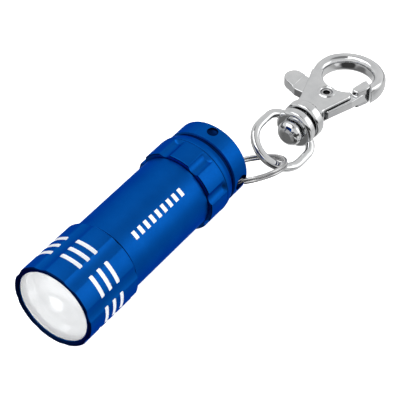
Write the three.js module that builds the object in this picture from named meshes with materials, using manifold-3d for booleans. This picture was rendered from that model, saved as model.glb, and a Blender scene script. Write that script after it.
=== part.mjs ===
// Keychain flashlight: an anodised aluminium torch with a tail push button, and a swivel trigger hook on a
// split ring. Millimetres, +Z up. The torch lies along X with its lens to -X, and the hook lies behind it.
// Stations along the torch are measured from the lens plane; the origin is then moved to the middle of the
// object's footprint, on the surface that it lies on.

import * as THREE from 'three';
import { mergeVertices } from 'three/addons/utils/BufferGeometryUtils.js';
import Module from 'manifold-3d';

const wasm = await Module();
wasm.setup();

const TAU = 2 * Math.PI;
const rad = THREE.MathUtils.degToRad;

// ---------------------------------------------------------------- driving dimensions
const TORCH_Z = 10; // height of the torch axis over the surface
const LAND_R = 9.95; // head and tail cap, over the lands between the flutes
const BARREL_R = 9.0;
const HEAD_FRONT = -0.4;
const HEAD_REAR = 15.75;
const CAP_FRONT = 42.4;
const CAP_REAR = 56.9;
const FLUTES = 8;
const FLUTE_START = 15.6; // degrees from +Z towards +Y
const FLUTE_PITCH = 360 / FLUTES;
const HOLE_START = -8;
const HOLES = 4;
const HOLE_X = 54.9;
const HOLE_R = 1.25;
const RING_HOLE = 3; // the hole that the split ring runs through
const RING_HOLE_R = 1.9; // opened out forwards, so that the ring can swing
const CELLS = 4;
const CELL_R = 5.8;
const CELL_LENGTH = 5.4;
const CELLS_START = 17.9;
const CLEARANCE = 0.06;
const SEGMENTS = 48;

// hook: its own frame has X along the swivel axis from the collar's back face, and Z through the plate
const HOOK_PLACE = new THREE.Vector3(83.3, -6.6, 4.9);
const COLLAR_R = 4.85;
const PLATE = 4.0; // thickness of the hook
const SLOT = 2.8; // gap between its two cheeks, for the trigger
const LOOP = { x: 19.0, y: -0.5, r: 8.45 };
const EYE = { x: 19.3, y: -1.0, r: 6.1 };
const PIN = { x: 11.0, y: -0.1, r: 1.3 };
const BAIL_ROLL = rad(30); // the bail leans on the surface with one side

// ---------------------------------------------------------------- materials
function metal(color, roughness, metalness) {
  return new THREE.MeshStandardMaterial({ color, roughness, metalness });
}

const BLUE = metal(0x0b55b4, 0.35, 0.7);
const CHROME = metal(0xd4d6d8, 0.18, 1);
const STEEL = metal(0xb4b6b8, 0.3, 1);
const BRASS = metal(0xc39a45, 0.35, 1);
const CLEAR = metal(0xf2f5f7, 0.05, 0);
const MIRROR = metal(0xeceef0, 0.08, 1);
const RUBBER = metal(0x17181a, 0.7, 0);
const PLASTIC = metal(0x2a2c30, 0.5, 0);
const WHITE_PLASTIC = metal(0xe9e9e4, 0.45, 0);
const LED_EPOXY = metal(0xf3f0e2, 0.2, 0);

// ---------------------------------------------------------------- solids
function toManifold(geometry) {
  const bare = geometry.clone();
  bare.deleteAttribute('normal');
  bare.deleteAttribute('uv');
  const merged = mergeVertices(bare, 1e-5);
  const mesh = new wasm.Mesh({
    numProp: 3,
    vertProperties: new Float32Array(merged.attributes.position.array),
    triVerts: new Uint32Array(merged.index.array),
  });
  return new wasm.Manifold(mesh);
}

function toGeometry(manifold) {
  const mesh = manifold.getMesh();
  const geometry = new THREE.BufferGeometry();
  geometry.setAttribute('position', new THREE.BufferAttribute(mesh.vertProperties, 3));
  geometry.setIndex(new THREE.BufferAttribute(mesh.triVerts, 1));
  geometry.computeVertexNormals();
  return geometry;
}

function cut(base, tools) {
  let solid = toManifold(base);
  for (const tool of tools) solid = solid.subtract(toManifold(tool));
  return toGeometry(solid);
}

function join(...pieces) {
  let solid = toManifold(pieces[0]);
  for (const piece of pieces.slice(1)) solid = solid.add(toManifold(piece));
  return toGeometry(solid);
}

// a turned solid about X, from [radius, x] pairs that start and end on the axis or close on themselves
function turned(profile, segments = SEGMENTS) {
  const points = profile.map(([r, x]) => new THREE.Vector2(r, x));
  return new THREE.LatheGeometry(points, segments).rotateZ(-Math.PI / 2);
}

function tube(outer, inner, start, end, segments = SEGMENTS) {
  const profile = [[inner, start], [outer, start], [outer, end], [inner, end], [inner, start]];
  return turned(profile, segments);
}

function disc(radius, start, end, segments = SEGMENTS) {
  return turned([[0, start], [radius, start], [radius, end], [0, end]], segments);
}

function oRing(radius, thickness, x, segments = 32) {
  const profile = [];
  const sides = 6;
  for (let i = 0; i <= sides; i += 1) {
    const turn = (i / sides) * TAU;
    profile.push([radius - thickness * Math.cos(turn), x - thickness * Math.sin(turn)]);
  }
  profile[sides] = [...profile[0]];
  return turned(profile, segments);
}

// a cutter along X with a ball end at its rear, laid at an angle round the torch axis
function ballCutter(radius, start, end, distance, degrees, segments) {
  const profile = [[0, start], [radius, start]];
  const steps = segments / 4;
  for (let i = 0; i <= steps; i += 1) {
    const turn = ((i / steps) * Math.PI) / 2;
    profile.push([i === steps ? 0 : radius * Math.cos(turn), end - radius + radius * Math.sin(turn)]);
  }
  return turned(profile, segments).translate(0, 0, distance).rotateX(-rad(degrees));
}

function radialHole(x, radius, degrees) {
  const hole = new THREE.CylinderGeometry(radius, radius, 6, 20);
  hole.rotateX(Math.PI / 2);
  hole.translate(x, 0, 9);
  return hole.rotateX(-rad(degrees));
}

class Coil extends THREE.Curve {
  constructor(rStart, rEnd, start, end, turns) {
    super();
    Object.assign(this, { rStart, rEnd, start, end, turns });
  }

  getPoint(t, target = new THREE.Vector3()) {
    const r = THREE.MathUtils.lerp(this.rStart, this.rEnd, t);
    const turn = this.turns * TAU * t;
    return target.set(THREE.MathUtils.lerp(this.start, this.end, t), r * Math.cos(turn), r * Math.sin(turn));
  }
}

function coilSpring(rStart, rEnd, start, end, turns, wire) {
  const section = new THREE.Shape();
  for (let i = 0; i < 6; i += 1) {
    const turn = (i / 6) * TAU;
    const method = i === 0 ? 'moveTo' : 'lineTo';
    section[method](wire * Math.cos(turn), wire * Math.sin(turn));
  }
  section.closePath();
  const path = new Coil(rStart, rEnd, start, end, turns);
  return new THREE.ExtrudeGeometry(section, { steps: turns * 12, extrudePath: path, bevelEnabled: false });
}

function plate(shape, thickness, middle = 0, curveSegments = 24) {
  const solid = new THREE.ExtrudeGeometry(shape, { depth: thickness, bevelEnabled: false, curveSegments });
  return solid.translate(0, 0, middle - thickness / 2);
}

// ---------------------------------------------------------------- head
// round-bottomed flutes that leave lands between them
function flutes(radius, depth, start, end, segments) {
  const tools = [];
  for (let i = 0; i < FLUTES; i += 1) {
    const degrees = FLUTE_START + i * FLUTE_PITCH;
    tools.push(ballCutter(radius, start, end, LAND_R - depth + radius, degrees, segments));
  }
  return tools;
}

function headShell() {
  const grooves = [];
  const grooveDepth = 0.12;
  for (const x of [4.7, 7.2, 9.7]) {
    grooves.push([LAND_R, x], [LAND_R - grooveDepth, x + 0.1]);
    grooves.push([LAND_R - grooveDepth, x + 0.9], [LAND_R, x + 1.0]);
  }
  const bore = 9.0;
  const lip = 8.75;
  const profile = [
    [lip, -0.08], [9.3, HEAD_FRONT], [9.75, HEAD_FRONT], [LAND_R, HEAD_FRONT + 0.25],
    ...grooves,
    [LAND_R, HEAD_REAR - 0.15], [LAND_R - 0.15, HEAD_REAR], [bore + 0.15, HEAD_REAR], [bore + 0.15, 11.4],
    [bore, 11.3], [bore, -0.08], [lip, -0.08],
  ];
  return cut(turned(profile), flutes(5.1, 0.35, -3, HEAD_REAR + 8, 48));
}

// a flat window whose front edge is bevelled, so that its face stands clear inside the head's lip
function lens() {
  return turned([[0, 0], [8.6, 0], [8.9, 0.3], [8.9, 1.4], [0, 1.4]], 40);
}

// a bowl: the outside goes back from the rim to the throat, and the polished inside comes forward again
function reflector() {
  const rim = { r: 8.0, x: 1.95 };
  const throat = { r: 2.0, x: 8.9 };
  const outside = [
    [8.86, 1.95], [8.86, 2.9], [8.5, 2.9], [8.1, 4.2], [6.9, 6.7], [4.7, 8.7], [throat.r, 8.95],
  ];
  const inside = [];
  for (let i = 0; i <= 6; i += 1) {
    const r = THREE.MathUtils.lerp(throat.r, rim.r, i / 6);
    const deep = Math.sqrt(1 - ((r - throat.r) / (rim.r - throat.r)) ** 2);
    inside.push([r, THREE.MathUtils.lerp(rim.x, throat.x - 1.2, deep)]);
  }
  return turned([inside[6], ...outside, ...inside], 32);
}

// ---------------------------------------------------------------- body and battery
function bodyTube() {
  const bore = 6.95;
  return turned([
    [bore, 12.0], [8.5, 12.0], [8.7, 12.2], [8.7, 13.6], [8.1, 13.6], [8.1, 14.7], [8.7, 14.7], [8.7, 15.6],
    [BARREL_R - 0.1, HEAD_REAR + 0.1], [BARREL_R, HEAD_REAR + 0.2],
    [BARREL_R, CAP_FRONT - 0.2], [BARREL_R - 0.1, CAP_FRONT - 0.1], [8.0, CAP_FRONT - 0.1],
    [8.0, 42.9], [7.45, 42.9], [7.45, 43.9], [8.0, 43.9], [8.0, 45.3], [7.8, 45.5], [bore, 45.5], [bore, 12.0],
  ], 40);
}

function cell(index) {
  const start = CELLS_START + index * (CELL_LENGTH + 0.05);
  return turned([
    [0, start], [5.0, start], [5.1, start + 0.4], [CELL_R - 0.2, start + 0.4], [CELL_R, start + 0.6],
    [CELL_R, start + CELL_LENGTH], [0, start + CELL_LENGTH],
  ], 24);
}

// ---------------------------------------------------------------- tail
function tailCap() {
  const bore = 8.3;
  const web = { start: 49.3, end: 51.5, hole: 4.9 };
  const cup = 8.0;
  const profile = [
    [bore, CAP_FRONT], [LAND_R - 0.15, CAP_FRONT], [LAND_R, CAP_FRONT + 0.15], [LAND_R, 48.6], [9.8, 49.6],
    [9.4, 50.8], [8.9, 50.95], [8.9, 51.95], [9.38, 52.1], [9.38, CAP_REAR - 0.3], [9.08, CAP_REAR],
    [cup + 0.1, CAP_REAR], [cup, CAP_REAR - 0.1], [cup, web.end], [web.hole, web.end], [web.hole, web.start],
    [bore, web.start], [bore, CAP_FRONT],
  ];
  const holes = [];
  for (let i = 0; i < HOLES; i += 1) {
    const radius = i === RING_HOLE ? RING_HOLE_R : HOLE_R;
    const x = i === RING_HOLE ? HOLE_X - 0.3 : HOLE_X;
    holes.push(radialHole(x, radius, HOLE_START + (i * 360) / HOLES));
  }
  return cut(turned(profile), [...flutes(1.9, 0.8, 40, 48.4, 24), ...holes]);
}

function pushButton() {
  return turned([
    [0, 48.55], [6.4, 48.55], [6.4, 49.15], [4.5, 49.15], [4.5, 52.9], [4.2, 53.6], [3.2, 54.05], [1.6, 54.25],
    [0, 54.3],
  ], 32);
}

// ---------------------------------------------------------------- split ring
const RING = {
  centre: new THREE.Vector3(62.5, -6.0, 5.1),
  normal: new THREE.Vector3(0.229, 0.4, 0.887).normalize(),
  radius: 8.56,
  wire: 0.8, // radial thickness
  height: 1.4, // two turns, one on the other
};

function splitRing() {
  const { radius, wire, height } = RING;
  const section = new THREE.Shape();
  section.moveTo(-wire / 2, -height / 2);
  section.lineTo(wire / 2, -height / 2);
  section.lineTo(wire / 2, height / 2);
  section.lineTo(-wire / 2, height / 2);
  section.closePath();
  const points = section.getPoints().map((point) => new THREE.Vector2(radius + point.x, point.y));
  const ring = new THREE.LatheGeometry(points, 48);
  const turn = new THREE.Quaternion().setFromUnitVectors(new THREE.Vector3(0, 1, 0), RING.normal);
  ring.applyQuaternion(turn);
  return ring.translate(...RING.centre);
}

// ---------------------------------------------------------------- bail: a D of flat bar with a round boss
function bailLoop() {
  const half = 6.35;
  const arcStart = -8.85;
  const points = [];
  points.push(new THREE.Vector3(-2.2, 3.6, 0), new THREE.Vector3(-2.6, 5.0, 0));
  points.push(new THREE.Vector3(-4.4, 6.15, 0), new THREE.Vector3(-6.6, half, 0));
  for (let i = 0; i <= 8; i += 1) {
    const turn = Math.PI / 2 + (i / 8) * Math.PI;
    points.push(new THREE.Vector3(arcStart + half * Math.cos(turn), half * Math.sin(turn), 0));
  }
  points.push(new THREE.Vector3(-6.6, -half, 0), new THREE.Vector3(-4.4, -6.15, 0));
  points.push(new THREE.Vector3(-2.6, -5.0, 0), new THREE.Vector3(-2.2, -3.6, 0));
  const path = new THREE.CatmullRomCurve3(points, false, 'centripetal');
  const section = new THREE.Shape();
  const [width, thick, corner] = [0.95, 0.85, 0.35];
  section.moveTo(-width + corner, -thick);
  section.lineTo(width - corner, -thick);
  section.lineTo(width, -thick + corner);
  section.lineTo(width, thick - corner);
  section.lineTo(width - corner, thick);
  section.lineTo(-width + corner, thick);
  section.lineTo(-width, thick - corner);
  section.lineTo(-width, -thick + corner);
  section.closePath();
  return new THREE.ExtrudeGeometry(section, { steps: 40, extrudePath: path, bevelEnabled: false });
}

function swivelBail() {
  const boss = turned([[0, -3.4], [4.2, -3.4], [4.8, -2.9], [4.8, -1.3], [4.5, -0.9], [0, -0.9]], 48);
  const postHole = disc(1.75, -6, 1, 32);
  return cut(join(boss, bailLoop()), [postHole]);
}

function swivelPost() {
  return turned([
    [0, -5.6], [1.2, -5.5], [2.1, -5.0], [2.4, -4.3], [2.4, -3.9], [1.5, -3.7], [1.5, -0.3], [0, -0.3],
  ], 32);
}

// ---------------------------------------------------------------- hook
function hookOutline() {
  const shape = new THREE.Shape();
  shape.moveTo(1.6, -3.9);
  shape.lineTo(4.8, -3.1);
  shape.lineTo(12.7, -5.7);
  shape.lineTo(13.8, -5.4);
  shape.absarc(EYE.x, EYE.y, EYE.r, rad(-142), rad(-80), true);
  shape.absarc(LOOP.x, LOOP.y, LOOP.r, rad(-93), rad(105), false);
  shape.lineTo(14.2, 6.7);
  shape.lineTo(6.0, 4.2);
  shape.lineTo(1.6, 3.9);
  shape.closePath();
  return shape;
}

function slotOutline() {
  const shape = new THREE.Shape();
  shape.moveTo(5.2, -9);
  shape.lineTo(14.9, -9);
  shape.lineTo(14.9, -2.0);
  shape.lineTo(13.6, 0.6);
  shape.lineTo(14.6, 4.0);
  shape.lineTo(15.6, 9.5);
  shape.lineTo(5.2, 9.5);
  shape.closePath();
  return shape;
}

function hookBody() {
  const collar = turned([
    [0, 0], [4.5, 0], [COLLAR_R, 0.35], [COLLAR_R, 2.3], [4.4, 3.0], [2.6, 4.4], [0, 4.4],
  ], 48);
  const eyePlate = plate(hookOutline(), PLATE);
  const whole = join(collar, eyePlate);
  const slot = plate(slotOutline(), SLOT);
  const pinHole = new THREE.CylinderGeometry(PIN.r + 0.1, PIN.r + 0.1, PLATE + 2, 24);
  pinHole.rotateX(Math.PI / 2);
  pinHole.translate(PIN.x, PIN.y, 0);
  return cut(whole, [slot, pinHole]);
}

function triggerPin() {
  const pin = new THREE.CylinderGeometry(PIN.r, PIN.r, PLATE - 0.2, 24);
  return pin.rotateX(Math.PI / 2).translate(PIN.x, PIN.y, 0);
}

function trigger() {
  const arm = new THREE.Shape();
  arm.moveTo(5.6, -3.9);
  arm.lineTo(12.3, -6.5);
  arm.lineTo(14.2, -7.7);
  arm.lineTo(17.7, -8.4);
  arm.lineTo(19.5, -6.6);
  arm.lineTo(19.6, -5.9);
  arm.lineTo(15.6, -4.5);
  arm.lineTo(14.2, -4.8);
  arm.lineTo(13.2, -1.6);
  arm.lineTo(13.0, 1.0);
  arm.lineTo(14.3, 7.2);
  arm.lineTo(14.9, 10.0);
  arm.absarc(12.4, 9.7, 2.55, rad(8), rad(160), false);
  arm.lineTo(8.6, 7.3);
  arm.lineTo(8.4, 2.0);
  arm.lineTo(6.0, -2.2);
  arm.closePath();
  const blade = plate(arm, SLOT - 0.6);
  const noseShape = new THREE.Shape();
  noseShape.moveTo(14.35, -7.7);
  noseShape.lineTo(17.7, -8.4);
  noseShape.lineTo(19.5, -6.6);
  noseShape.lineTo(19.6, -5.9);
  noseShape.lineTo(15.6, -4.5);
  noseShape.lineTo(14.6, -4.7);
  noseShape.closePath();
  const nose = plate(noseShape, PLATE - 0.3);
  const hole = new THREE.CylinderGeometry(PIN.r + 0.12, PIN.r + 0.12, PLATE, 24);
  hole.rotateX(Math.PI / 2);
  hole.translate(PIN.x, PIN.y, 0);
  return cut(join(blade, nose), [hole]);
}

// ---------------------------------------------------------------- assembly
function node(name, geometry, material) {
  const mesh = new THREE.Mesh(geometry, material);
  mesh.name = name;
  return mesh;
}

function torch() {
  const group = new THREE.Group();
  group.position.z = TORCH_Z;
  group.add(
    node('head_shell', headShell(), BLUE),
    node('lens', lens(), CLEAR),
    node('lens_seal', oRing(8.55, 0.22, 1.65), RUBBER),
    node('reflector', reflector(), MIRROR),
    node('led', turned([[0, 6.9], [0.9, 7.2], [1.3, 7.9], [1.3, 9.1], [0, 9.1]], 24), LED_EPOXY),
    node('led_board', disc(6.0, 9.2, 9.9, 24), WHITE_PLASTIC),
    node('led_holder', turned([
      [0, 10.0], [6.2, 10.0], [6.2, 9.2], [8.85, 9.2], [8.85, 11.4], [0, 11.4],
    ], 32), BRASS),
    node('front_contact_spring', coilSpring(3.4, 2.2, 11.9, 17.2, 4, 0.3), BRASS),
    node('body_tube', bodyTube(), BLUE),
    node('front_o_ring', oRing(8.5, 0.35, 14.15), RUBBER),
    node('rear_o_ring', oRing(7.86, 0.35, 43.4), RUBBER),
    node('battery_sleeve', tube(6.85, CELL_R + CLEARANCE, CELLS_START - 0.5, 40.2, 32), WHITE_PLASTIC),
    node('tail_cap', tailCap(), BLUE),
    node('rear_contact_spring', coilSpring(3.2, 4.8, 40.3, 45.0, 4, 0.3), BRASS),
    node('switch_body', tube(7.9, 2.4, 45.9, 47.1, 32), PLASTIC),
    node('switch_plunger', disc(2.0, 45.0, 48.4, 24), WHITE_PLASTIC),
    node('push_button', pushButton(), RUBBER),
  );
  for (let i = 0; i < CELLS; i += 1) group.add(node(`cell_${i + 1}`, cell(i), STEEL));
  return group;
}

function clip() {
  const group = new THREE.Group();
  group.position.copy(HOOK_PLACE);
  const bail = node('swivel_bail', swivelBail(), CHROME);
  bail.rotation.x = BAIL_ROLL;
  group.add(
    bail,
    node('swivel_post', swivelPost(), CHROME),
    node('hook_body', hookBody(), CHROME),
    node('trigger', trigger(), CHROME),
    node('trigger_pin', triggerPin(), STEEL),
  );
  return group;
}

const flashlight = new THREE.Group();
flashlight.add(torch(), node('split_ring', splitRing(), STEEL), clip());
flashlight.updateMatrixWorld(true);

const box = new THREE.Box3().setFromObject(flashlight, true);
const middle = box.getCenter(new THREE.Vector3());
flashlight.position.set(-middle.x, -middle.y, -box.min.z);

export default flashlight;
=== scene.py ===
import math

import bmesh
import bpy
from mathutils import Matrix, Vector


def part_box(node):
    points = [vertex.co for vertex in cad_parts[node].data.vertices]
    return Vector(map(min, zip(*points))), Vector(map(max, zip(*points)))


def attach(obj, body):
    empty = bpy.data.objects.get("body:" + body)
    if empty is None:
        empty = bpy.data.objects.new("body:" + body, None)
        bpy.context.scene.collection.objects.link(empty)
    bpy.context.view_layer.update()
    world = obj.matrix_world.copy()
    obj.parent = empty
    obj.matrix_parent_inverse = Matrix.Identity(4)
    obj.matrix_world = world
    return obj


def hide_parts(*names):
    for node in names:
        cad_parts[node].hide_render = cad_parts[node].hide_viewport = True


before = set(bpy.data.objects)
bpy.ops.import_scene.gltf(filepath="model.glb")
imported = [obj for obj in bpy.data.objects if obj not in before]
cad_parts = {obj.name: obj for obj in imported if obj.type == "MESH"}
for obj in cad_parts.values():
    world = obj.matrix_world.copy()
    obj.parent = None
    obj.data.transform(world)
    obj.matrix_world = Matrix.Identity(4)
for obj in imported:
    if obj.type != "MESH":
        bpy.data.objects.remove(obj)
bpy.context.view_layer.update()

# A keychain flashlight on its swivel hook. Shapes are drawn in millimetres in two frames of their own. The
# torch's has X along its axis from the lens plane. The hook's has X along the swivel axis from the collar's
# back face, and Z through the plate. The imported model's own nodes say where each frame goes.
MM = 0.001
TAU = 2 * math.pi


def middle(node):
    """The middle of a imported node's box."""
    low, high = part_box(node)
    return (Vector(low) + Vector(high)) / 2


PIN = Vector((11.0, -0.1, 0.0))  # the trigger pin in the hook's frame
TORCH_AT = Vector((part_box("lens")[0][0], middle("body_tube").y, middle("body_tube").z))
HOOK_AT = middle("trigger_pin") - PIN * MM
RING_AT = middle("split_ring")
TORCH = Matrix.Translation(TORCH_AT) @ Matrix.Scale(MM, 4)
HOOK = Matrix.Translation(HOOK_AT) @ Matrix.Scale(MM, 4)
BAIL = HOOK @ Matrix.Rotation(math.radians(30), 4, "X")

LAND_R = 9.95
BARREL_R = 9.0
FLUTES = 8
FLUTE_START = 15.6  # degrees from +Z towards +Y
HEAD_FLUTE = {"radius": 5.1, "depth": 0.35}
CAP_FLUTE = {"radius": 1.9, "depth": 0.8}
BARS = (4.7, 7.2, 9.7)  # where the three bare grooves in each land of the head start
BAR_WIDTH = 1.0
BAR_DEPTH = 0.12
HEAD_FRONT = -0.4
CAP_FRONT = 42.4
CAP_REAR = 56.9
CUP_R = 9.38  # outside of the cup at the tail
HOLE_X = 54.9
HOLE_START = -8  # degrees from +Z towards +Y
RING_HOLE_X = 54.6
RING_NORMAL = Vector((0.229, 0.4, 0.887)).normalized()  # how the split ring leans
CAST_GRAIN = 0.1  # size of the cells that the castings are made from
MERGE = 1e-4  # points closer than this become one, in millimetres
STRAIGHT = 172  # a corner this open, in degrees, is left alone


# ---------------------------------------------------------------- mesh helpers
def solid(name, verts, faces, place, marks=None):
    """A smooth-shaded mesh from points in millimetres, moved to its place in the row frame."""
    mesh = bpy.data.meshes.new(name)
    mesh.from_pydata(verts, [], faces)
    if marks:
        mesh.polygons.foreach_set("material_index", marks)
    bm = bmesh.new()
    bm.from_mesh(mesh)
    bmesh.ops.remove_doubles(bm, verts=bm.verts, dist=MERGE)
    bmesh.ops.recalc_face_normals(bm, faces=bm.faces)
    bm.to_mesh(mesh)
    bm.free()
    mesh.transform(place)
    return mesh


def piece(name, mesh, body, materials, stands_for=(), crease=None):
    """Links the mesh as a piece that rides on a body."""
    obj = bpy.data.objects.new(name, mesh)
    bpy.context.scene.collection.objects.link(obj)
    for material in materials:
        mesh.materials.append(material)
    mesh.polygons.foreach_set("use_smooth", [True] * len(mesh.polygons))
    if crease:
        mesh.set_sharp_from_angle(angle=math.radians(crease))
    weighted = obj.modifiers.new("normals", "WEIGHTED_NORMAL")
    weighted.keep_sharp = True
    weighted.weight = 80
    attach(obj, body)
    if stands_for:
        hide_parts(*stands_for)
    return obj


def eased(points, radius=0.1, steps=3):
    """The outline with each corner made a small curve that starts at most the radius from its point."""
    closed = points[0] == points[-1]
    points = points[:-1] if closed else points
    result = []
    count = len(points)
    for i, point in enumerate(points):
        corner = Vector(point)
        if not closed and i in (0, count - 1):
            result.append(tuple(corner))
            continue
        back = Vector(points[i - 1]) - corner
        ahead = Vector(points[(i + 1) % count]) - corner
        if back.length < 1e-6 or ahead.length < 1e-6 or back.angle(ahead) > math.radians(STRAIGHT):
            result.append(tuple(corner))
            continue
        reach = min(radius, 0.45 * back.length, 0.45 * ahead.length)
        start = corner + back.normalized() * reach
        end = corner + ahead.normalized() * reach
        for k in range(steps + 1):
            t = k / steps
            result.append(tuple(start.lerp(corner, t).lerp(corner.lerp(end, t), t)))
    if closed:
        result.append(result[0])
    return result


def eased_loop(points, radius, steps=3):
    """The same for a closed outline, given and returned without its first point again at the end."""
    return eased([*points, points[0]], radius, steps)[:-1]


def turned(name, profile, place, segments=128):
    """A turned solid about X from (radius, x) pairs that end on the axis or close on themselves."""
    closed = profile[0] == profile[-1]
    rows = profile[:-1] if closed else profile
    verts = []
    for r, x in rows:
        for k in range(segments):
            turn = TAU * k / segments
            verts.append((x, r * math.sin(turn), r * math.cos(turn)))
    faces = []
    for i in range(len(rows) if closed else len(rows) - 1):
        a = i * segments
        b = ((i + 1) % len(rows)) * segments
        for k in range(segments):
            after = (k + 1) % segments
            faces.append((a + k, a + after, b + after, b + k))
    return solid(name, verts, faces, place)


def arc(cx, cy, r, start, end, steps):
    """Points on a circle's arc, with its angles in degrees."""
    angles = (math.radians(start + (end - start) * k / steps) for k in range(steps + 1))
    return [(cx + r * math.cos(a), cy + r * math.sin(a)) for a in angles]


def round_section(radius, x, across, along, sides=16):
    """A closed oval to turn into a ring, from its middle and its two half-widths."""
    angles = (TAU * k / sides for k in range(sides))
    oval = [(radius - across * math.cos(t), x - along * math.sin(t)) for t in angles]
    return [*oval, oval[0]]


def tube_faces(rings, sides):
    """Faces of a tube made of rings of points, with an end cap on each end."""
    faces = []
    for i in range(rings - 1):
        for k in range(sides):
            a, b = i * sides + k, i * sides + (k + 1) % sides
            faces.append((a, b, b + sides, a + sides))
    faces.append(tuple(range(sides)))
    faces.append(tuple(range((rings - 1) * sides, rings * sides)))
    return faces


def evaluated(obj):
    """The object's mesh with its modifiers applied; the object itself goes."""
    graph = bpy.context.evaluated_depsgraph_get()
    mesh = bpy.data.meshes.new_from_object(obj.evaluated_get(graph))
    bpy.data.objects.remove(obj)
    return mesh


def temporary(mesh):
    obj = bpy.data.objects.new("temporary", mesh)
    bpy.context.scene.collection.objects.link(obj)
    return obj


def plate(outline, thickness, edge, resolution=5):
    """A flat plate across Z with rounded edges, in the hook's own millimetres."""
    curve = bpy.data.curves.new("plate", "CURVE")
    curve.dimensions = "2D"
    curve.fill_mode = "BOTH"
    curve.extrude = thickness / 2 - edge
    curve.bevel_depth = edge
    curve.bevel_resolution = resolution
    curve.offset = -edge
    spline = curve.splines.new("POLY")
    spline.points.add(len(outline) - 1)
    for point, (x, y) in zip(spline.points, outline):
        point.co = (x, y, 0, 1)
    spline.use_cyclic_u = True
    obj = bpy.data.objects.new("plate", curve)
    bpy.context.scene.collection.objects.link(obj)
    mesh = evaluated(obj)
    bpy.data.curves.remove(curve)
    bm = bmesh.new()
    bm.from_mesh(mesh)
    bmesh.ops.remove_doubles(bm, verts=bm.verts, dist=MERGE)
    bmesh.ops.recalc_face_normals(bm, faces=bm.faces)
    bm.to_mesh(mesh)
    bm.free()
    return mesh


def give_material(mesh, index, chosen):
    """Gives the faces whose middle is chosen the piece's material of that index."""
    for polygon in mesh.polygons:
        if chosen(polygon.center):
            polygon.material_index = index


def carved(mesh, cutters, materials=()):
    """The mesh less each cutter; a cutter's faces keep their own material."""
    for material in materials:
        for part in (mesh, *cutters):
            part.materials.append(material)
    for cutter in cutters:
        base = temporary(mesh)
        tool = temporary(cutter)
        cut = base.modifiers.new("cut", "BOOLEAN")
        cut.operation = "DIFFERENCE"
        cut.solver = "EXACT"
        cut.object = tool
        mesh = evaluated(base)
        bpy.data.objects.remove(tool)
    return mesh


def joined(meshes):
    """The meshes as one, still overlapping."""
    bm = bmesh.new()
    for mesh in meshes:
        bm.from_mesh(mesh)
    whole = bpy.data.meshes.new("joined")
    bm.to_mesh(whole)
    bm.free()
    return whole


def cast(meshes, place, rounds):
    """One skin over solids that run into each other, with its creases softened as in a die casting."""
    obj = temporary(joined(meshes))
    skin = obj.modifiers.new("skin", "REMESH")
    skin.mode = "VOXEL"
    skin.voxel_size = CAST_GRAIN
    skin.use_smooth_shade = True
    soften = obj.modifiers.new("soften", "SMOOTH")
    soften.factor = 0.5
    soften.iterations = rounds
    mesh = evaluated(obj)
    mesh.transform(place)
    return mesh


# ---------------------------------------------------------------- material helpers
class Nodes:
    """A small builder for one material's node tree."""

    def __init__(self, name):
        self.material = bpy.data.materials.new(name)
        self.material.use_nodes = True
        self.tree = self.material.node_tree
        self.shader = self.tree.nodes["Principled BSDF"]
        self.where = self.tree.nodes.new("ShaderNodeTexCoord")

    def link(self, out, into):
        self.tree.links.new(out, into)

    def set(self, **sockets):
        for name, value in sockets.items():
            self.shader.inputs[name.replace("_", " ")].default_value = value

    def noise(self, scale, detail=3.0, stretch=(1, 1, 1)):
        """Noise on the object's own coordinates, in cycles per metre."""
        mapping = self.tree.nodes.new("ShaderNodeMapping")
        mapping.inputs["Scale"].default_value = stretch
        noise = self.tree.nodes.new("ShaderNodeTexNoise")
        noise.inputs["Scale"].default_value = scale
        noise.inputs["Detail"].default_value = detail
        self.link(self.where.outputs["Object"], mapping.inputs["Vector"])
        self.link(mapping.outputs["Vector"], noise.inputs["Vector"])
        return noise.outputs["Fac"]

    def spread(self, value, low, high):
        """The value, from 0.3 to 0.7, spread over low to high."""
        spread = self.tree.nodes.new("ShaderNodeMapRange")
        spread.inputs["From Min"].default_value = 0.3
        spread.inputs["From Max"].default_value = 0.7
        spread.inputs["To Min"].default_value = low
        spread.inputs["To Max"].default_value = high
        self.link(value, spread.inputs["Value"])
        return spread.outputs["Result"]

    def ramp(self, value, *stops):
        ramp = self.tree.nodes.new("ShaderNodeValToRGB")
        elements = ramp.color_ramp.elements
        while len(elements) < len(stops):
            elements.new(0.5)
        for element, (position, colour) in zip(elements, stops):
            element.position = position
            element.color = (*colour, 1)
        self.link(value, ramp.inputs["Fac"])
        return ramp.outputs["Color"]

    def bump(self, value, depth, before=None):
        """A bump of that depth in metres."""
        bump = self.tree.nodes.new("ShaderNodeBump")
        bump.inputs["Distance"].default_value = depth
        bump.inputs["Strength"].default_value = 1
        self.link(value, bump.inputs["Height"])
        if before is not None:
            self.link(before, bump.inputs["Normal"])
        return bump.outputs["Normal"]

    def into(self, socket, value):
        self.link(value, self.shader.inputs[socket])


def anodised(name, low, high):
    """Satin anodising over turned aluminium: fine rings from the lathe under an even matt grain."""
    n = Nodes(name)
    n.set(Metallic=1.0, Specular_Tint=(0.1, 0.35, 0.9, 1))
    n.into("Base Color", n.ramp(n.noise(180, 2), (0.35, low), (0.65, high)))
    n.into("Roughness", n.spread(n.noise(2500, 4), 0.38, 0.46))
    rings = n.noise(1, 3, stretch=(9000, 60, 60))
    grain = n.bump(n.noise(9000, 2), 0.000003)
    n.into("Normal", n.bump(rings, 0.000002, before=grain))
    return n.material


def bare_aluminium():
    """Freshly cut aluminium, with the tool's fine rings."""
    n = Nodes("bare_aluminium")
    n.set(Metallic=0.45)
    n.into("Base Color", n.ramp(n.noise(900, 2), (0.3, (0.84, 0.87, 0.94)), (0.7, (0.92, 0.94, 0.98))))
    n.into("Roughness", n.spread(n.noise(4000, 3), 0.28, 0.4))
    n.into("Normal", n.bump(n.noise(1, 3, stretch=(14000, 80, 80)), 0.000004))
    return n.material


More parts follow.
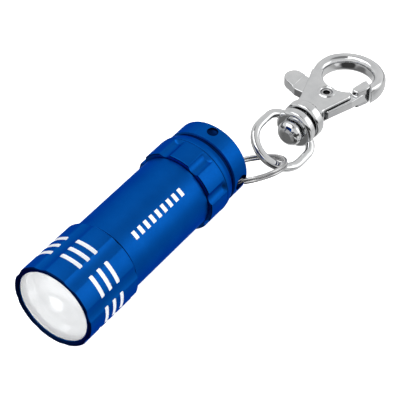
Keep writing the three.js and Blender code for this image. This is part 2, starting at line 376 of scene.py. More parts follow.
def chrome():
    """Bright plating on a die casting: near mirror, faintly wavy, with slight handling marks."""
    n = Nodes("chrome_plate")
    n.set(Metallic=1.0)
    n.into("Base Color", n.ramp(n.noise(300, 2), (0.3, (0.70, 0.71, 0.72)), (0.7, (0.78, 0.785, 0.79))))
    n.into("Roughness", n.spread(n.noise(1200, 4), 0.04, 0.1))
    wave = n.bump(n.noise(350, 1), 0.00004)
    n.into("Normal", n.bump(n.noise(6000, 2), 0.0000015, before=wave))
    return n.material


def steel(name, low, high, rough):
    """Drawn or pressed metal with a fine grain; brass too."""
    n = Nodes(name)
    n.set(Metallic=1.0)
    n.into("Base Color", n.ramp(n.noise(500, 3), (0.3, low), (0.7, high)))
    n.into("Roughness", n.spread(n.noise(3000, 4), rough, rough + 0.1))
    n.into("Normal", n.bump(n.noise(5000, 3), 0.000003))
    return n.material


def rubber():
    """Matt black moulded rubber."""
    n = Nodes("black_rubber")
    n.set(Specular_IOR_Level=0.35)
    n.into("Base Color", n.ramp(n.noise(800, 3), (0.3, (0.008, 0.008, 0.009)), (0.7, (0.018, 0.018, 0.02))))
    n.into("Roughness", n.spread(n.noise(5000, 3), 0.5, 0.75))
    n.into("Normal", n.bump(n.noise(7000, 4), 0.00002))
    return n.material


def plastic(name, low, high):
    """Moulded plastic with a faint texture from its mould."""
    rough = 0.4
    n = Nodes(name)
    n.set(IOR=1.5)
    n.into("Base Color", n.ramp(n.noise(400, 2), (0.3, low), (0.7, high)))
    n.into("Roughness", n.spread(n.noise(3500, 3), rough, rough + 0.12))
    n.into("Normal", n.bump(n.noise(4500, 2), 0.000008))
    return n.material


def clear_lens():
    """Moulded plastic, slightly milky."""
    n = Nodes("clear_lens")
    n.set(Base_Color=(0.97, 0.98, 0.99, 1), Transmission_Weight=0.66, IOR=1.49)
    n.into("Roughness", n.spread(n.noise(900, 3), 0.03, 0.08))
    n.into("Normal", n.bump(n.noise(150, 1), 0.00001))
    return n.material


def mirror():
    """Vacuum-coated white plastic: a soft mirror with a slight ripple."""
    n = Nodes("reflector_mirror")
    n.set(Metallic=0.75)
    n.into("Base Color", n.ramp(n.noise(200, 2), (0.3, (0.93, 0.93, 0.93)), (0.7, (0.97, 0.97, 0.97))))
    n.into("Roughness", n.spread(n.noise(1500, 3), 0.14, 0.2))
    n.into("Normal", n.bump(n.noise(260, 2), 0.00004))
    return n.material


def epoxy():
    """The LED's cast dome, creamy and glossy."""
    n = Nodes("led_epoxy")
    n.set(IOR=1.5, Coat_Weight=0.8)
    n.into("Base Color", n.ramp(n.noise(900, 2), (0.3, (0.62, 0.61, 0.55)), (0.7, (0.7, 0.69, 0.63))))
    n.into("Roughness", n.spread(n.noise(3000, 2), 0.08, 0.16))
    return n.material


def ink():
    """Screen-printed white ink, a touch uneven."""
    n = Nodes("printed_white")
    n.into("Base Color", n.ramp(n.noise(2500, 3), (0.3, (0.86, 0.88, 0.9)), (0.7, (0.95, 0.96, 0.97))))
    n.into("Roughness", n.spread(n.noise(6000, 2), 0.4, 0.6))
    n.into("Normal", n.bump(n.noise(8000, 2), 0.000006))
    return n.material


ANODISED = anodised("anodised_blue", (0.0022, 0.088, 0.40), (0.0032, 0.099, 0.435))
# A darker copy of the blue anodising: painted shade for edges, grooves, the seam and hole walls where light
# doesn't reach.
PAINTED_SHADE_ANODISED = anodised("anodised_painted_shade", (0.0008, 0.012, 0.075), (0.001, 0.016, 0.09))
BARE = bare_aluminium()
CHROME = chrome()
RING_STEEL = steel("spring_steel", (0.55, 0.55, 0.56), (0.68, 0.68, 0.68), 0.14)
PIN_STEEL = steel("pin_steel", (0.5, 0.5, 0.51), (0.62, 0.62, 0.63), 0.16)
# near-black steel: painted shade for the dishes in the trigger pin's ends
PAINTED_SHADE_STEEL = steel("pin_dish_painted_shade", (0.03, 0.03, 0.032), (0.07, 0.07, 0.072), 0.3)
CELL_STEEL = steel("cell_steel", (0.52, 0.52, 0.53), (0.62, 0.62, 0.62), 0.25)
BRASS = steel("brass", (0.62, 0.42, 0.14), (0.72, 0.5, 0.2), 0.25)
RUBBER = rubber()
BLACK = plastic("black_plastic", (0.015, 0.015, 0.017), (0.03, 0.03, 0.033))
WHITE = plastic("white_plastic", (0.72, 0.72, 0.69), (0.82, 0.82, 0.79))
CLEAR = clear_lens()
MIRROR = mirror()
EPOXY = epoxy()
INK = ink()


# ---------------------------------------------------------------- fluted turnings
def flute_radius(degrees, flute):
    """How far in the flute reaches, at that angle from its middle."""
    centre = LAND_R - flute["depth"] + flute["radius"]
    along = centre * math.cos(math.radians(degrees))
    inside = along**2 - centre**2 + flute["radius"] ** 2
    return along - math.sqrt(inside) if inside > 0 else 2 * LAND_R


def flute_half_angle(r, flute):
    """Where the flute runs out at that radius, in degrees from its middle."""
    centre = LAND_R - flute["depth"] + flute["radius"]
    cosine = (r**2 + centre**2 - flute["radius"] ** 2) / (2 * r * centre)
    return max(math.degrees(math.acos(min(1.0, cosine))), 2.0)


def smaller(a, b, blend=0.06):
    """The smaller of two, with a small round where they meet."""
    near = max(blend - abs(a - b), 0) / blend
    return min(a, b) - near * near * blend / 4


ACROSS_FLUTE = (-1, -0.96, -0.9, -0.75, -0.5, -0.25, 0, 0.25, 0.5, 0.75, 0.9, 0.96)
ACROSS_LAND = (0, 0.01, 0.025, 0.06, 0.15, 0.3, 0.45, 0.6, 0.75, 0.87, 0.94, 0.975, 0.99)


def fluted(name, profile, flute, end, stations=(), mark=None):
    """A turned solid with flutes along it that ramp out just before end; mark says which faces get another
    material."""
    ramp = 0.7
    rows = []
    for (r, x), (_, next_x) in zip(profile[:-1], profile[1:]):
        rows.append((r, x))
        rows += [(r, station) for station in stations if x < station < next_x and r > LAND_R - 0.01]
    pitch = 360 / FLUTES
    verts = []
    for r, x in rows:
        share = min(max((end - x) / ramp, 0), 1)
        half = flute_half_angle(r, flute)
        angles = [half * t for t in ACROSS_FLUTE] + [half + (pitch - 2 * half) * t for t in ACROSS_LAND]
        for i in range(FLUTES):
            for degrees in angles:
                offset = degrees if degrees < pitch / 2 else degrees - pitch
                radius = r + (smaller(r, flute_radius(offset, flute)) - r) * share
                turn = math.radians(FLUTE_START + i * pitch + degrees)
                verts.append((x, radius * math.sin(turn), radius * math.cos(turn)))
    per_pitch = len(ACROSS_FLUTE) + len(ACROSS_LAND)
    columns = FLUTES * per_pitch
    faces, marks = [], []
    for i in range(len(rows)):
        following = (i + 1) % len(rows)
        for k in range(columns):
            after = (k + 1) % columns
            here, there = i * columns, following * columns
            faces.append((here + k, here + after, there + after, there + k))
            on_land = k % per_pitch >= len(ACROSS_FLUTE)
            marks.append(mark(rows[i], rows[following], on_land) if mark else 0)
    return solid(name, verts, faces, TORCH, marks)


def head_bars_and_painted_shade(row, following, on_land):
    """Bare metal in the three grooves of each land, and painted shade on the front of the bezel: the dark
    copy of the anodising.
    """
    x = (row[1] + following[1]) / 2
    low = min(row[0], following[0])
    margin = 0.02
    sunk = LAND_R - BAR_DEPTH - 2 * margin < low < LAND_R - 0.03
    if on_land and sunk and any(start - margin < x < start + BAR_WIDTH + margin for start in BARS):
        return 1
    # painted shade: the bezel's front and lip get the dark copy of the anodising
    return 2 if x < -0.1 and low > 8.7 else 0


def head_shell():
    rear, bore, lip = 15.75, 9.0, 8.75
    floor_r, slope = LAND_R - BAR_DEPTH, 0.05
    grooves = []
    for x in BARS:
        grooves += [(LAND_R, x), (floor_r, x + slope)]
        grooves += [(floor_r, x + BAR_WIDTH - slope), (LAND_R, x + BAR_WIDTH)]
    profile = [
        (lip, -0.08), (9.3, HEAD_FRONT), (9.75, HEAD_FRONT), (LAND_R, HEAD_FRONT + 0.25),
        *grooves,
        (LAND_R, rear - 0.15), (LAND_R - 0.15, rear), (bore + 0.15, rear), (bore + 0.15, 11.4),
        (bore, 11.3), (bore, -0.08), (lip, -0.08),
    ]
    past_rear = rear + 2  # the head's flutes run right through
    mesh = fluted("head_shell_turned", eased(profile, 0.05, 2), HEAD_FLUTE, past_rear, mark=head_bars_and_painted_shade)
    # the third material is painted shade on the bezel's front
    finishes_and_painted_shade = [ANODISED, BARE, PAINTED_SHADE_ANODISED]
    piece("head_shell_turned", mesh, "head", finishes_and_painted_shade, ["head_shell"], 40)


def cap_painted_shade(row, following, on_land):
    """Painted shade, the dark copy of the anodising, on the cap's front edge, the fine line behind its
    flutes and the waist.
    """
    x = (row[1] + following[1]) / 2
    front = x < CAP_FRONT + 0.1 and min(row[0], following[0]) > 8.4
    line = 48.38 < x < 48.56
    waist = 50.9 < x < 52.0
    # these faces are painted dark as shade
    return 1 if front or ((line or waist) and row[0] > 8.7) else 0


def radial_cutter(x, radius, degrees, outside, depth):
    """A drill with a slight countersink, laid into the wall at that angle round the torch; the walls it
    cuts get painted shade, the dark copy of the anodising."""
    bottom, sink = outside - depth, 0.14
    profile = [
        (0, bottom), (radius * 0.9, bottom), (radius, bottom + 0.1), (radius, outside - 0.12),
        (radius + sink, outside + 0.04), (radius + sink, outside + 1), (0, outside + 1),
    ]
    mesh = turned("drill", profile, Matrix.Identity(4), 48)
    # painted shade for the walls of the hole
    mesh.polygons.foreach_set("material_index", [1] * len(mesh.polygons))
    mesh.transform(Matrix.Rotation(math.radians(-90), 4, "Y"))
    mesh.transform(Matrix.Rotation(-math.radians(degrees), 4, "X"))
    mesh.transform(Matrix.Translation((x, 0, 0)))
    mesh.transform(TORCH)
    return mesh


def tail_cap():
    bore, cup = 8.3, 8.0
    web_start, web_end, web_hole = 49.3, 51.5, 4.9
    flute_end = 48.36
    profile = [
        (bore, CAP_FRONT), (LAND_R - 0.15, CAP_FRONT), (LAND_R, CAP_FRONT + 0.15), (LAND_R, flute_end),
        (LAND_R - 0.1, 48.44), (LAND_R - 0.1, 48.5), (LAND_R - 0.01, 48.6), (9.8, 49.6), (9.4, 50.8),
        (8.9, 50.95), (8.9, 51.95), (CUP_R, 52.1), (CUP_R, CAP_REAR - 0.3), (CUP_R - 0.3, CAP_REAR),
        (cup + 0.1, CAP_REAR), (cup, CAP_REAR - 0.1), (cup, web_end), (web_hole, web_end),
        (web_hole, web_start), (bore, web_start), (bore, CAP_FRONT),
    ]
    stations = (45.5, 47.5, 47.65, 47.7, 47.8, 48.0, 48.2)
    mesh = fluted("tail_cap_turned", eased(profile, 0.06, 2), CAP_FLUTE, flute_end, stations, cap_painted_shade)
    dimples = [radial_cutter(HOLE_X, 1.25, HOLE_START + i * 90, CUP_R, 0.8) for i in range(3)]
    ring_hole = radial_cutter(RING_HOLE_X, 1.9, HOLE_START - 90, CUP_R, 3)
    # the dimples' and the ring hole's walls come out in painted shade
    mesh = carved(mesh, [*dimples, ring_hole], [ANODISED, PAINTED_SHADE_ANODISED])
    piece("tail_cap_turned", mesh, "tail", [], ["tail_cap"], 40)


def barrel():
    """The body tube, with its two threaded spigots and its o-ring grooves."""
    bore = 6.95
    front_rest, rear_rest = 15.85, 42.3
    relief_end = front_rest + 0.6
    profile = [
        (bore, 12.0), (8.5, 12.0), (8.7, 12.2), (8.7, 13.6), (8.1, 13.6), (8.1, 14.7), (8.7, 14.7),
        (8.7, 15.6),
        (8.5, front_rest), (8.5, front_rest + 0.35), (BARREL_R, relief_end),
        (BARREL_R, rear_rest - 0.1), (BARREL_R - 0.1, rear_rest), (8.0, rear_rest),
        (8.0, 42.9), (7.45, 42.9), (7.45, 43.9), (8.0, 43.9), (8.0, 45.3), (7.8, 45.5),
        (bore, 45.5), (bore, 12.0),
    ]
    mesh = turned("body_tube_turned", eased(profile, 0.06, 2), TORCH, 160)
    # painted shade: the relief groove behind the head gets the dark copy of the anodising, where the head's
    # rear edge shades the barrel
    seam = TORCH_AT.x + (relief_end + 0.02) * MM
    give_material(mesh, 1, lambda at: seam - 0.8 * MM < at.x < seam)
    piece("body_tube_turned", mesh, "barrel", [ANODISED, PAINTED_SHADE_ANODISED], ["body_tube"], 40)


def barrel_print():
    """A plain row of equal white ticks where the real barrel carries its print."""
    radius = BARREL_R + 0.012
    top, bottom = -32.5, -44.5
    width, pitch, count = 1.0, 2.0, 9
    start, steps = 20.3, 10
    verts, faces = [], []
    for i in range(count):
        for k in range(steps + 1):
            turn = math.radians(top + (bottom - top) * k / steps)
            for x in (start + i * pitch, start + i * pitch + width):
                verts.append((x, radius * math.sin(turn), radius * math.cos(turn)))
        first = i * 2 * (steps + 1)
        for k in range(steps):
            a = first + 2 * k
            faces.append((a, a + 1, a + 3, a + 2))
    mesh = solid("barrel_print", verts, faces, TORCH)
    piece("barrel_print", mesh, "barrel", [INK])


def optics():
    """Lens, reflector, seal and LED."""
    profile = eased([(0, 0), (8.6, 0), (8.9, 0.3), (8.9, 1.4), (0, 1.4)], 0.08, 3)
    lens = turned("lens_moulded", profile, TORCH)
    piece("lens_moulded", lens, "optics", [CLEAR], ["lens"], 40)
    rim_r, rim_x, throat_r, throat_x = 8.0, 1.95, 2.0, 8.9
    outside = [(8.86, 1.95), (8.86, 2.9), (8.5, 2.9), (8.1, 4.2), (6.9, 6.7), (4.7, 8.7), (throat_r, 8.95)]
    steps = 24
    inside = []
    for i in range(steps + 1):
        r = throat_r + (rim_r - throat_r) * i / steps
        deep = math.sqrt(1 - ((r - throat_r) / (rim_r - throat_r)) ** 2)
        inside.append((r, rim_x + (throat_x - 1.2 - rim_x) * deep))
    bowl = turned("reflector_bowl", [inside[-1], *outside, *inside], TORCH)
    piece("reflector_bowl", bowl, "optics", [MIRROR], ["reflector"], 50)
    seal = turned("lens_seal_ring", round_section(8.55, 1.65, 0.22, 0.22), TORCH, 96)
    piece("lens_seal_ring", seal, "optics", [RUBBER], ["lens_seal"])
    dome = [
        (0, 6.9), (0.45, 6.95), (0.85, 7.2), (1.15, 7.55), (1.25, 7.95), (1.25, 8.7), (1.3, 8.75),
        (1.3, 9.1), (0, 9.1),
    ]
    led = turned("led_dome", eased(dome, 0.05, 2), TORCH, 48)
    piece("led_dome", led, "optics", [EPOXY], ["led"])


# ---------------------------------------------------------------- split ring
def split_ring():
    """Two turns of flattened wire, stepping from one level to the other in the tail cap's hole, where
    its two ends stop."""
    radius, wire, height = 8.56, 0.8, 1.4
    level = height / 4
    half_height = level - 0.03  # leaves a fine gap between the turns
    step = math.radians(7)
    opening = math.radians(202)  # where the step between the turns lies
    section = eased_loop([(-wire / 2, -half_height), (wire / 2, -half_height), (wire / 2, half_height),
                          (-wire / 2, half_height)], 0.26, 4)
    steps = 300
    start, end = step, 2 * TAU - step
    verts = []
    for k in range(steps + 1):
        turn = start + (end - start) * k / steps
        t = min(1.0, max(0.0, (turn - (TAU - step)) / (2 * step)))
        z = -level + 2 * level * t * t * (3 - 2 * t)
        for u, v in section:
            r = radius + u
            verts.append((r * math.cos(turn + opening), r * math.sin(turn + opening), z + v))
    tilt = Vector((0, 0, 1)).rotation_difference(RING_NORMAL).to_matrix().to_4x4()
    place = Matrix.Translation(RING_AT) @ tilt @ Matrix.Scale(MM, 4)
    mesh = solid("split_ring_wire", verts, tube_faces(steps + 1, len(section)), place)
    piece("split_ring_wire", mesh, "ring", [RING_STEEL], ["split_ring"], 45)


# ---------------------------------------------------------------- bail and post
def smooth_path(points, per=10):
    """A Catmull-Rom curve through the points."""
    result = []
    for i in range(len(points) - 1):
        p0 = points[max(i - 1, 0)]
        p1, p2 = points[i], points[i + 1]
        p3 = points[min(i + 2, len(points) - 1)]
        for k in range(per):
            t = k / per
            result.append(0.5 * (2 * p1 + (p2 - p0) * t + (2 * p0 - 5 * p1 + 4 * p2 - p3) * t**2
                                 + (3 * p1 - p0 - 3 * p2 + p3) * t**3))
    result.append(points[-1])
    return result


def bar_along(path, section):
    """A bar of that section along a flat path in XY; the section's first axis lies in the plane."""
    verts = []
    for i, point in enumerate(path):
        ahead = path[min(i + 1, len(path) - 1)] - path[max(i - 1, 0)]
        side = Vector((-ahead.y, ahead.x)).normalized()
        verts += [(point.x + side.x * u, point.y + side.y * u, v) for u, v in section]
    return solid("bar", verts, tube_faces(len(path), len(section)), Matrix.Identity(4))


def bail():
    """A bent bar cast in one with the round boss that the post turns in."""
    half, arc_start = 6.35, -8.85
    near_side = [(-2.2, 3.6), (-2.6, 5.0), (-4.4, 6.15), (-6.6, half)]
    points = [Vector(p) for p in near_side]
    points += [Vector(p) for p in arc(arc_start, 0, half, 90, 270, 12)]
    points += [Vector((x, -y)) for x, y in reversed(near_side)]
    width, thick = 1.02, 0.9  # half of each
    section = eased_loop([(-width, -thick), (width, -thick), (width, thick), (-width, thick)], 0.8, 6)
    loop = bar_along(smooth_path(points), section)
    boss = [
        (1.75, -3.4), (4.2, -3.4), (4.8, -2.9), (4.8, -1.3), (4.5, -0.9), (1.75, -0.9), (1.75, -3.4),
    ]
    body = turned("boss", eased(boss, 0.25, 4), Matrix.Identity(4), 96)
    mesh = cast([loop, body], BAIL, rounds=5)
    piece("swivel_bail_cast", mesh, "bail", [CHROME], ["swivel_bail"])


def post():
    """The domed rivet that the hook turns on."""
    profile = [
        (0, -6.3), (1.2, -6.24), (2.1, -6.05), (2.75, -5.65), (3.05, -5.1), (3.1, -4.5), (3.0, -4.0),
        (2.6, -3.75), (1.5, -3.65), (1.5, -0.3), (0, -0.3),
    ]
    mesh = turned("swivel_post_turned", eased(profile, 0.12, 3), HOOK, 64)
    piece("swivel_post_turned", mesh, "hook", [CHROME], ["swivel_post"], 60)


# ---------------------------------------------------------------- hook
EYE = Vector((19.2, -0.8))  # the middle of the hook's eye
SEAM_R = 10.55  # the gate closes on an arc about the trigger pin
SEAM_GAP = 0.08  # from that arc to the hook, and to the gate


def across_plate(mesh, z=0.0):
    """Turns a solid of revolution on to the trigger pin's axis, with its middle at that height."""
    mesh.transform(Matrix.Translation(PIN + Vector((0, 0, z))) @ Matrix.Rotation(math.radians(90), 4, "Y"))
    return mesh


def pin_drill(radius):
    profile = [(0, -4), (radius, -4), (radius, 4), (0, 4)]
    return across_plate(turned("drill", profile, Matrix.Identity(4), 48))


def shoulder_outline():
    """The plate from the collar to the sides of the eye."""
    hollow = arc(19.3, -1.0, 6.1, -142, -258, 32)
    return [(1.6, -3.9), (4.8, -3.1), (12.7, -5.7), (13.8, -5.4), *hollow, (16.8, 7.66), (14.2, 6.7),
            (6.0, 4.2), (1.6, 3.9)]


def eye_bar():
    """The crowned bar round the eye, drawn in and deepened where it meets the gate."""
    first, last, steps, sides = -108, 150, 110, 32
    squareness = 2 / 2.5
    verts = []
    for i in range(steps + 1):
        degrees = first + (last - first) * i / steps
        tip = min(max((-50 - degrees) / 50, 0), 1)
        root = min(max((degrees - 60) / 60, 0), 1)
        radius = 7.8 - 0.95 * tip**1.3 - 0.6 * root
        half_width = 1.6 - 0.2 * tip - 0.35 * root
        half_height = 2.1 + 0.35 * tip - 0.1 * root
        turn = math.radians(degrees)
        for k in range(sides):
            across, up = math.cos(TAU * k / sides), math.sin(TAU * k / sides)
            r = radius + half_width * math.copysign(abs(across) ** squareness, across)
            z = half_height * math.copysign(abs(up) ** squareness, up)
            verts.append((EYE.x + r * math.cos(turn), EYE.y + r * math.sin(turn), z))
    bar = solid("eye_bar", verts, tube_faces(steps + 1, sides), Matrix.Identity(4))
    wedge = [PIN.to_2d(), *arc(PIN.x, PIN.y, SEAM_R + SEAM_GAP, -62, -18, 32)]
    return carved(bar, [plate(wedge, 8, 0.01, resolution=0)])


def hook_body():
    """Collar, cheeks and the bar round the eye in one casting, with a raised ring round each pin head."""
    thickness, slot = 4.0, 2.8
    whole = plate(eased_loop(shoulder_outline(), 0.5), thickness, 0.6, resolution=6)
    slot_outline = [(5.2, -9), (14.9, -9), (14.9, -2.0), (13.6, 0.6), (14.6, 4.0), (15.6, 9.5), (5.2, 9.5)]
    slot_cutter = plate(slot_outline, slot, 0.02, resolution=0)
    body = carved(whole, [slot_cutter, pin_drill(1.4)])
    bar = carved(eye_bar(), [slot_cutter])
    collar = eased([(0, 0), (4.5, 0), (4.85, 0.35), (4.85, 2.3), (4.4, 3.0), (2.6, 4.4), (0, 4.4)], 0.2, 4)
    parts = [body, bar, turned("collar", collar, Matrix.Identity(4), 96)]
    for side in (-1, 1):
        rim = turned("rim", round_section(1.82, 0, 0.32, -0.22), Matrix.Identity(4), 48)
        parts.append(across_plate(rim, side * thickness / 2))
    mesh = cast(parts, HOOK, rounds=4)
    piece("hook_body_cast", mesh, "hook", [CHROME], ["hook_body"])


def trigger_pin():
    """A rivet with a dish in each end; the dish carries painted shade in near-black steel."""
    half, dish = 1.9, 0.85
    profile = [
        (0, half - 1.0), (0.5, half - 0.95), (0.75, half - 0.5), (dish, half), (1.2, half),
        (1.3, half - 0.15), (1.3, 0.15 - half),
        (1.2, -half), (dish, -half), (0.75, 0.5 - half), (0.5, 0.95 - half), (0, 1.0 - half),
    ]
    mesh = turned("trigger_pin_riveted", eased(profile, 0.1, 3), Matrix.Identity(4), 64)
    # painted shade: the faces inside the dish get the near-black steel
    give_material(mesh, 1, lambda at: math.hypot(at.y, at.z) < dish - 0.04)
    across_plate(mesh)
    mesh.transform(HOOK)
    piece("trigger_pin_riveted", mesh, "hook", [PIN_STEEL, PAINTED_SHADE_STEEL], ["trigger_pin"], 60)


def trigger():
    """The lever: a thin blade between the cheeks, the thick nose of the gate, and the thumb tab."""
    tip = arc(PIN.x, PIN.y, SEAM_R - SEAM_GAP, -47.5, -33.7, 8)
    thumb = arc(12.4, 9.7, 2.55, 8, 160, 16)
    blade = [
        (5.6, -3.9), (12.3, -6.5), (14.4, -7.0), (17.2, -7.7), *tip, (19.2, -5.4), (15.6, -4.5),
        (14.2, -4.8), (13.2, -1.6), (13.0, 1.0), (14.3, 7.2), (14.9, 10.0), *thumb, (8.6, 7.3), (8.4, 2.0),
        (6.0, -2.2),
    ]
    nose = [(14.5, -6.6), (17.2, -7.7), *tip, (19.2, -5.4), (15.4, -4.6), (14.6, -5.0)]
    tab = [(9.0, 8.0), (14.6, 8.0), (14.9, 10.0), *thumb]
    parts = [carved(plate(eased_loop(blade, 0.3), 2.2, 0.2), [pin_drill(1.42)])]
    for outline, thickness in ((nose, 4.8), (tab, 2.6)):
        parts.append(plate(eased_loop(outline, 0.4), thickness, 0.35))
    mesh = cast(parts, HOOK, rounds=3)
    piece("trigger_cast", mesh, "lever", [CHROME], ["trigger"])


# ---------------------------------------------------------------- inner parts
def inner_turned(node, profile, body, material):
    name = node + "_detailed"
    mesh = turned(name, eased(profile, 0.08), TORCH, 96)
    piece(name, mesh, body, [material], [node], 45)


def coil(node, r_start, r_end, start, end, body):
    """A coil of round wire whose radius runs evenly from one end to the other."""
    turns, wire = 4, 0.3
    steps, sides = turns * 48, 12
    verts = []
    for k in range(steps + 1):
        t = k / steps
        turn = turns * TAU * t
        r = r_start + (r_end - r_start) * t
        x = start + (end - start) * t
        for j in range(sides):
            a = TAU * j / sides
            out = r + wire * math.cos(a)
            verts.append((x + wire * math.sin(a), out * math.cos(turn), out * math.sin(turn)))
    name = node + "_wound"
    piece(name, solid(name, verts, tube_faces(steps + 1, sides), TORCH), body, [BRASS], [node])


def o_ring(node, radius, x):
    name = node + "_moulded"
    ring = turned(name, round_section(radius, x, 0.35, 0.35), TORCH, 96)
    piece(name, ring, "barrel", [RUBBER], [node])


def inner_parts():
    """What the torch holds: board, holder, sleeve, switch, cells, springs and o-rings."""
    board = [(0, 9.2), (6.0, 9.2), (6.0, 9.9), (0, 9.9)]
    inner_turned("led_board", board, "optics", WHITE)
    holder = [(0, 10.0), (6.2, 10.0), (6.2, 9.2), (8.85, 9.2), (8.85, 11.4), (0, 11.4)]
    inner_turned("led_holder", holder, "optics", BRASS)
    inner_turned("battery_sleeve", [(5.86, 17.4), (6.85, 17.4), (6.85, 40.2), (5.86, 40.2), (5.86, 17.4)],
                 "barrel", WHITE)
    inner_turned("switch_body", [(2.4, 45.9), (7.9, 45.9), (7.9, 47.1), (2.4, 47.1), (2.4, 45.9)], "switch",
                 BLACK)
    inner_turned("switch_plunger", [(0, 45.0), (2.0, 45.0), (2.0, 48.4), (0, 48.4)], "button", WHITE)
    cells, first, length, gap = 4, 17.9, 5.4, 0.05
    for i in range(cells):
        x = first + i * (length + gap)
        inner_turned(f"cell_{i + 1}", [
            (0, x), (5.0, x), (5.1, x + 0.4), (5.6, x + 0.4), (5.8, x + 0.6), (5.8, x + length),
            (0, x + length),
        ], "barrel", CELL_STEEL)
    coil("front_contact_spring", 3.4, 2.2, 11.9, 17.2, "optics")
    coil("rear_contact_spring", 3.2, 4.8, 40.3, 45.0, "switch")
    o_ring("front_o_ring", 8.5, 14.15)
    o_ring("rear_o_ring", 7.86, 43.4)


def push_button():
    """A rubber button with a shallow ring round its top."""
    profile = [
        (0, 48.55), (6.4, 48.55), (6.4, 49.15), (4.4, 49.15), (4.4, 52.5), (4.0, 53.1), (3.2, 53.45),
        (2.6, 53.6), (2.4, 53.45), (2.2, 53.65), (1.2, 53.75), (0, 53.8),
    ]
    mesh = turned("push_button_moulded", eased(profile, 0.12, 3), TORCH, 96)
    piece("push_button_moulded", mesh, "button", [RUBBER], ["push_button"], 50)


# ---------------------------------------------------------------- studio
# direction, half-angle in degrees within which it is full, half-angle where it ends, and brightness
PANELS = (
    ((-0.75, -0.4, -0.5), 22, 34, 0.05),
    ((-0.2, -0.9, -0.4), 8, 14, 0.9),
    ((-0.6, 0.42, -0.68), 8, 26, 0.16),
    ((0.66, 0.0, -0.75), 35, 62, 0.68),
    ((0.6, 0.8, 0.0), 14, 42, 0.66),
    ((0.6, -0.72, 0.25), 10, 34, 1.05),
    ((-0.29, 0.42, 0.87), 12, 22, 0.03),
    ((-0.5, -0.3, 0.8), 7, 12, 1.3),
)


def floor():
    """Pale and evenly lit; it doesn't show in reflections."""
    n = Nodes("floor_white")
    n.set(Specular_IOR_Level=0.2)
    n.into("Base Color", n.ramp(n.noise(3, 2), (0.3, (0.93, 0.93, 0.93)), (0.7, (0.95, 0.95, 0.95))))
    n.into("Roughness", n.spread(n.noise(40, 2), 0.7, 0.8))
    n.set(Emission_Color=(1, 1, 1, 1), Emission_Strength=0.8)
    size = 3.0
    corners = [(-size, -size, 0), (size, -size, 0), (size, size, 0), (-size, size, 0)]
    mesh = bpy.data.meshes.new("floor")
    mesh.from_pydata(corners, [], [(0, 1, 2, 3)])
    mesh.materials.append(n.material)
    obj = bpy.data.objects.new("floor", mesh)
    bpy.context.scene.collection.objects.link(obj)
    obj.visible_glossy = False


def area_light(name, azimuth, elevation, size, power, mirrored=True):
    """A soft square light, aimed at the object from that side; mirrored says whether polished parts show
    it."""
    distance = 0.6
    light = bpy.data.lights.new(name, "AREA")
    light.shape = "SQUARE"
    light.size = size
    light.energy = power
    obj = bpy.data.objects.new(name, light)
    bpy.context.scene.collection.objects.link(obj)
    a, e = math.radians(azimuth), math.radians(elevation)
    away = Vector((math.cos(a) * math.cos(e), math.sin(a) * math.cos(e), math.sin(e)))
    obj.location = away * distance
    obj.rotation_euler = away.to_track_quat("Z", "Y").to_euler()
    obj.visible_glossy = mirrored


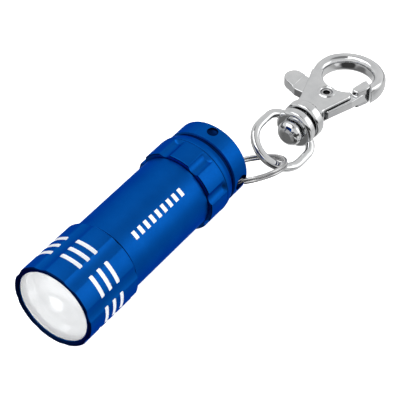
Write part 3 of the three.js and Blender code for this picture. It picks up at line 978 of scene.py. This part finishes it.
def surroundings():
    """A studio for polished metal to reflect: bright above, grey below, black round the horizon and
    straight down, with the panels laid over that. The floor hides it from the camera, but not from
    reflections."""
    world = bpy.data.worlds.new("studio")
    bpy.context.scene.world = world
    world.use_nodes = True
    tree = world.node_tree
    where = tree.nodes.new("ShaderNodeTexCoord")
    split = tree.nodes.new("ShaderNodeSeparateXYZ")
    height = tree.nodes.new("ShaderNodeMapRange")
    height.inputs["From Min"].default_value = -1
    ramp = tree.nodes.new("ShaderNodeValToRGB")
    tree.links.new(where.outputs["Generated"], split.inputs["Vector"])
    tree.links.new(split.outputs["Z"], height.inputs["Value"])
    tree.links.new(height.outputs["Result"], ramp.inputs["Fac"])
    stops = (
        (0.0, 0.1), (0.1, 0.15), (0.16, 0.42), (0.42, 0.5), (0.45, 0.04), (0.56, 0.04), (0.6, 0.9),
        (0.7, 0.8), (0.84, 0.7), (0.92, 0.7), (0.95, 0.25), (1.0, 0.25),
    )
    elements = ramp.color_ramp.elements
    while len(elements) < len(stops):
        elements.new(0.5)
    for element, (position, grey) in zip(elements, stops):
        element.position = position
        element.color = (grey, grey, grey, 1)
    light = ramp.outputs["Color"]
    for toward, inner, outer, grey in PANELS:
        aim = tree.nodes.new("ShaderNodeVectorMath")
        aim.operation = "DOT_PRODUCT"
        aim.inputs[1].default_value = Vector(toward).normalized()
        edge = tree.nodes.new("ShaderNodeMapRange")
        edge.interpolation_type = "SMOOTHSTEP"
        edge.inputs["From Min"].default_value = math.cos(math.radians(outer))
        edge.inputs["From Max"].default_value = math.cos(math.radians(inner))
        mix = tree.nodes.new("ShaderNodeMix")
        mix.data_type = "RGBA"
        mix.inputs["B"].default_value = (grey, grey, grey, 1)
        tree.links.new(where.outputs["Generated"], aim.inputs[0])
        tree.links.new(aim.outputs["Value"], edge.inputs["Value"])
        tree.links.new(edge.outputs["Result"], mix.inputs["Factor"])
        tree.links.new(light, mix.inputs["A"])
        light = mix.outputs["Result"]
    tree.links.new(light, tree.nodes["Background"].inputs["Color"])


def camera():
    """Looks down at the object from in front of its lens and to one side."""
    azimuth, elevation = math.radians(54.8), math.radians(42.68)
    target = TORCH_AT + Vector((43.43, -6.0, 0.05)) * MM
    distance = 375.3 * MM
    level = math.cos(elevation)
    ahead = Vector((math.sin(azimuth) * level, math.cos(azimuth) * level, -math.sin(elevation)))
    data = bpy.data.cameras.new("camera")
    data.sensor_width = 36
    data.lens = 155.33
    data.clip_start = 0.01
    obj = bpy.data.objects.new("camera", data)
    obj.location = target - ahead * distance
    obj.rotation_euler = ahead.to_track_quat("-Z", "Y").to_euler()
    bpy.context.scene.collection.objects.link(obj)
    bpy.context.scene.camera = obj


camera()
surroundings()
floor()
area_light("overhead", 120, 70, 0.5, 1.5)
area_light("side", -48, 25, 0.35, 0.25)
area_light("fill", 200, 30, 0.4, 1.5, mirrored=False)
bpy.context.scene.view_settings.view_transform = "Standard"

head_shell()
barrel()
barrel_print()
tail_cap()
optics()
inner_parts()
push_button()
split_ring()
bail()
post()
hook_body()
trigger_pin()
trigger()
